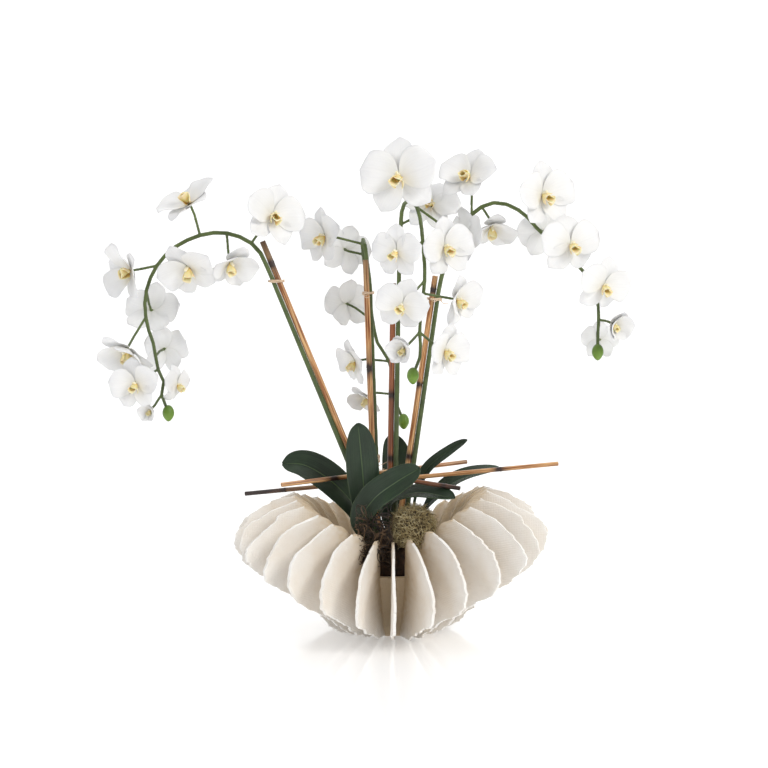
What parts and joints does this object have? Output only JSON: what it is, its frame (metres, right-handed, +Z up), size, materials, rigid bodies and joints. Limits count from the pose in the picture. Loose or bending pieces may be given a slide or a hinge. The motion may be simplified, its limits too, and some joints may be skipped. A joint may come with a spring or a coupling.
{
  "type": "potted orchid",
  "caption": "Moth orchid with four arching sprays of white flowers tied to bamboo stakes, strap leaves, moss and roots, in a wide bowl of thin radiating fins.",
  "frame": {"origin": "centre of the bowl's flat foot, on the floor", "axes": "+Z up along the bowl's axis, +X along the long way of the plant towards the spray that hangs on the right, -Y the front"},
  "size_m": [0.736, 0.3902, 0.6915],
  "materials": {
    "petal": "soft white petals with a pale yellow lip",
    "flower_stem": "satin olive green stem, lime green bud",
    "bamboo": "satin tan bamboo with dark nodes",
    "raffia": "dry pale fibre",
    "leaf": "satin very dark green",
    "cast_bowl": "matt off-white cast body with rough rims",
    "bark_bed": "rough dark bark",
    "moss": "dry straw-olive moss",
    "aerial_root": "dull brown-black root"
  },
  "bodies": {
    "root": {"aerial_roots": "aerial_root", "cross_stick_back": "bamboo", "cross_stick_long": "bamboo", "cross_stick_short": "bamboo", "fin_bowl": "cast_bowl", "flower_back_01": "petal", "flower_back_02": "petal", "flower_back_03": "petal", "flower_back_04": "petal", "flower_back_05": "petal", "flower_front_01": "petal", "flower_front_02": "petal", "flower_front_03": "petal", "flower_front_04": "petal", "flower_front_05": "petal", "flower_front_06": "petal", "flower_front_07": "petal", "flower_front_08": "petal", "flower_left_01": "petal", "flower_left_02": "petal", "flower_left_03": "petal", "flower_left_04": "petal", "flower_left_05": "petal", "flower_left_06": "petal", "flower_left_07": "petal", "flower_left_08": "petal", "flower_left_09": "petal", "flower_left_10": "petal", "flower_left_11": "petal", "flower_right_01": "petal", "flower_right_02": "petal", "flower_right_03": "petal", "flower_right_04": "petal", "flower_right_05": "petal", "flower_right_06": "petal", "flower_right_07": "petal", "flower_right_08": "petal", "flower_right_09": "petal", "growing_bed": "bark_bed", "leaf_arching": "leaf", "leaf_far_right": "leaf", "leaf_left": "leaf", "leaf_low_right": "leaf", "leaf_narrow": "leaf", "leaf_rear": "leaf", "leaf_upright": "leaf", "moss_ball": "moss", "raffia_tie_back": "raffia", "raffia_tie_front": "raffia", "raffia_tie_left": "raffia", "raffia_tie_right": "raffia", "spike_back": "flower_stem", "spike_front": "flower_stem", "spike_left": "flower_stem", "spike_right": "flower_stem", "stake_back": "bamboo", "stake_front": "bamboo", "stake_left": "bamboo", "stake_right": "bamboo", "twine_lashing": "raffia"}
  },
  "joints": []
}
